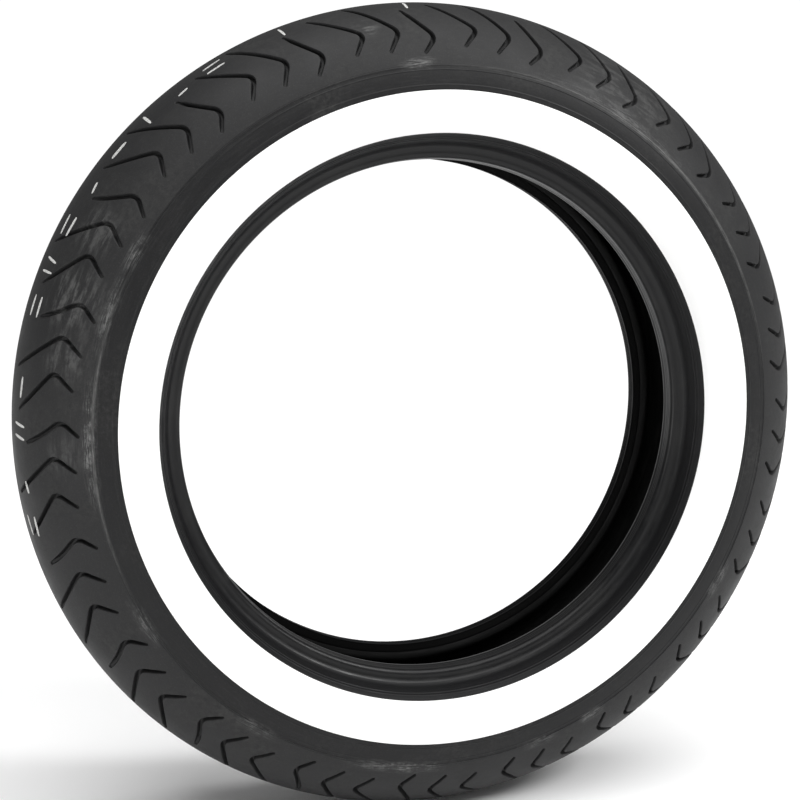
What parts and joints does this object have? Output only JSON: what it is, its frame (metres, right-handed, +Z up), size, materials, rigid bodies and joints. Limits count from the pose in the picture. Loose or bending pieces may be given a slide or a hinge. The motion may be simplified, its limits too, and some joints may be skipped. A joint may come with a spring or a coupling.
{
  "type": "motorcycle tyre",
  "caption": "Tubeless motorcycle tyre with a white sidewall band, hooked tread grooves, fabric belts and plies, and wire beads.",
  "frame": {"origin": "the wheel's centre, on the axle line and midway between the beads", "axes": "+Y along the axle to the tyre's right side, +Z up, X is the rolling direction"},
  "size_m": [0.646, 0.151, 0.646],
  "materials": {
    "tread_rubber": "matt black tread rubber with light dust",
    "base_rubber": "matt black",
    "sidewall_rubber": "satin black moulded rubber",
    "white_rubber": "smooth white rubber",
    "bead_rubber": "satin black hard rubber",
    "liner_rubber": "smooth dark liner",
    "belt_fabric": "rubber-coated cord",
    "ply_fabric": "rubber-coated cord",
    "bead_wire": "bronze-coated steel wire"
  },
  "bodies": {
    "root": {"tread_cap": "tread_rubber", "tread_base": "base_rubber", "belt_outer": "belt_fabric", "belt_inner": "belt_fabric", "belt_edge_strip_left": "base_rubber", "belt_edge_strip_right": "base_rubber", "carcass_ply_outer": "ply_fabric", "carcass_ply_inner": "ply_fabric", "inner_liner": "liner_rubber", "sidewall_left": "sidewall_rubber", "sidewall_right": "sidewall_rubber", "whitewall_left": "white_rubber", "whitewall_right": "white_rubber", "chafer_left": "bead_rubber", "chafer_right": "bead_rubber", "bead_filler_left": "bead_rubber", "bead_filler_right": "bead_rubber", "bead_wrap_left": "ply_fabric", "bead_wrap_right": "ply_fabric", "bead_core_left": "bead_wire", "bead_core_right": "bead_wire"}
  },
  "joints": []
}
